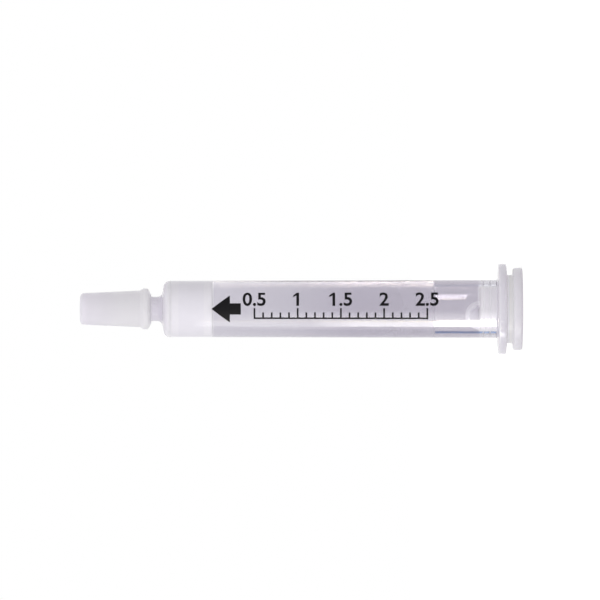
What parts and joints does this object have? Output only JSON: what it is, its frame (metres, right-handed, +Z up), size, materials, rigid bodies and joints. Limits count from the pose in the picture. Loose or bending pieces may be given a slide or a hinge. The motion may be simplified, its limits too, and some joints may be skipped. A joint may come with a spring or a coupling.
{
  "type": "spe cartridge",
  "caption": "Sealed solid phase extraction cartridge: syringe barrel reservoir with a wet gel bed between frits, storage buffer, plug cap and Luer tip cap.",
  "frame": {"origin": "centre of the plug cap's outer face, on the table that it stands on", "axes": "+Z up the cartridge's axis, from the plug cap to the tip; +X towards the side on which the drop clings to the plug"},
  "size_m": [0.0164, 0.0164, 0.0807],
  "materials": {
    "barrel": "clear polypropylene, smooth",
    "frit": "white sintered polyethylene",
    "gel": "wet white resin beads",
    "buffer": "clear water-like liquid",
    "cap": "milky low density polyethylene, satin"
  },
  "bodies": {
    "barrel": {"barrel": "barrel", "lower_frit": "frit", "gel_bed": "gel", "upper_frit": "frit", "storage_buffer": "buffer"},
    "top_cap": {"top_cap": "cap", "buffer_drop": "buffer"},
    "tip_cap": {"tip_cap": "cap"}
  },
  "joints": [
    {"name": "top_cap_pull", "type": "slide", "parent": "top_cap", "child": "barrel", "axis": [0, 0, 1], "range_m": [0, 0.012]},
    {"name": "tip_cap_pull", "type": "slide", "parent": "barrel", "child": "tip_cap", "axis": [0, 0, 1], "range_m": [0, 0.014]}
  ]
}
